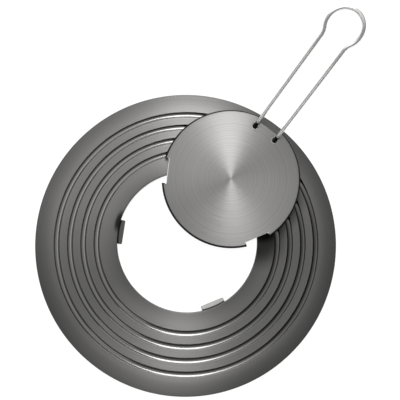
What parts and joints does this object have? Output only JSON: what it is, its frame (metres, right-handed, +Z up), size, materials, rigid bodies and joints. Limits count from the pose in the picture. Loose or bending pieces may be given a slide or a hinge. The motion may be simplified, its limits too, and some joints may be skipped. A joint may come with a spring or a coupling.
{
  "type": "stove heat plate",
  "caption": "Grooved round heat plate for a stove, with a lift-out centre disc laid on the ring and a bent wire handle hooked in the disc.",
  "frame": {"origin": "centre of the ring, on its flat underside", "axes": "+Z up, square to the ring's faces; +X to the right and +Y away, seen with the disc lying up and to the right"},
  "size_m": [0.2428, 0.2828, 0.0785],
  "materials": {
    "ring_plate": "dark grey anodised, brushed in circles",
    "centre_disc": "light grey, spun in circles",
    "wire_handle": "polished stainless wire"
  },
  "bodies": {
    "root": {"ring_plate": "ring_plate", "centre_disc": "centre_disc", "wire_handle": "wire_handle"}
  },
  "joints": []
}
